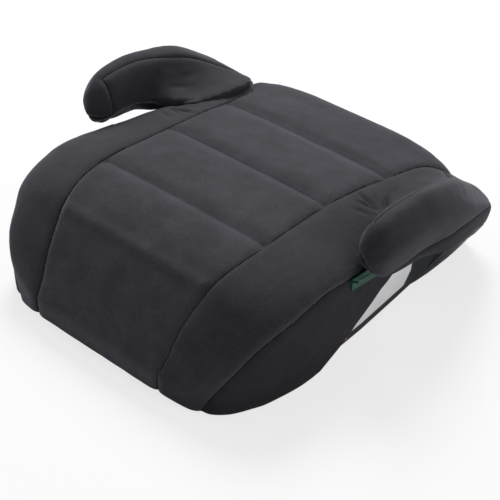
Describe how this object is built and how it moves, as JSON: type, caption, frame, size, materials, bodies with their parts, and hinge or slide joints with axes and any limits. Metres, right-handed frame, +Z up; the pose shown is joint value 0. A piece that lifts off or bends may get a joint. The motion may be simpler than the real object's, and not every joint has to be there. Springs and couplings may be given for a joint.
{
  "type": "booster seat",
  "caption": "Backless child booster cushion with two padded armrests, belt slots under them, a foam pad and a quilted dark cover over a hollow moulded shell",
  "frame": {"origin": "on the floor, under the middle of the seat's bounding box", "axes": "+Z up, -Y towards the front edge of the seat, +X to the right as seen from in front"},
  "size_m": [0.4202, 0.403, 0.1525],
  "materials": {
    "shell_plastic": "moulded polypropylene",
    "foam": "polyurethane foam",
    "cover_fabric": "woven polyester with a thin foam backing",
    "skirt_fabric": "woven polyester with a thin foam backing",
    "elastic": "knitted elastic",
    "green_plastic": "moulded polypropylene",
    "white_film": "printable film, blank",
    "orange_film": "printable film, blank"
  },
  "bodies": {
    "root": {"armrest_foam_left": "foam", "armrest_foam_right": "foam", "belt_guide_left": "green_plastic", "belt_guide_right": "green_plastic", "cover_armrest_hem_left": "skirt_fabric", "cover_armrest_hem_right": "skirt_fabric", "cover_armrest_left": "cover_fabric", "cover_armrest_right": "cover_fabric", "cover_bolster_left": "cover_fabric", "cover_bolster_right": "cover_fabric", "cover_elastic_loops": "elastic", "cover_rear_panel": "skirt_fabric", "cover_seat_panel": "cover_fabric", "cover_skirt_left": "skirt_fabric", "cover_skirt_right": "skirt_fabric", "label_orange_right": "orange_film", "label_white_right": "white_film", "seat_foam": "foam", "seat_shell": "shell_plastic"}
  },
  "joints": []
}
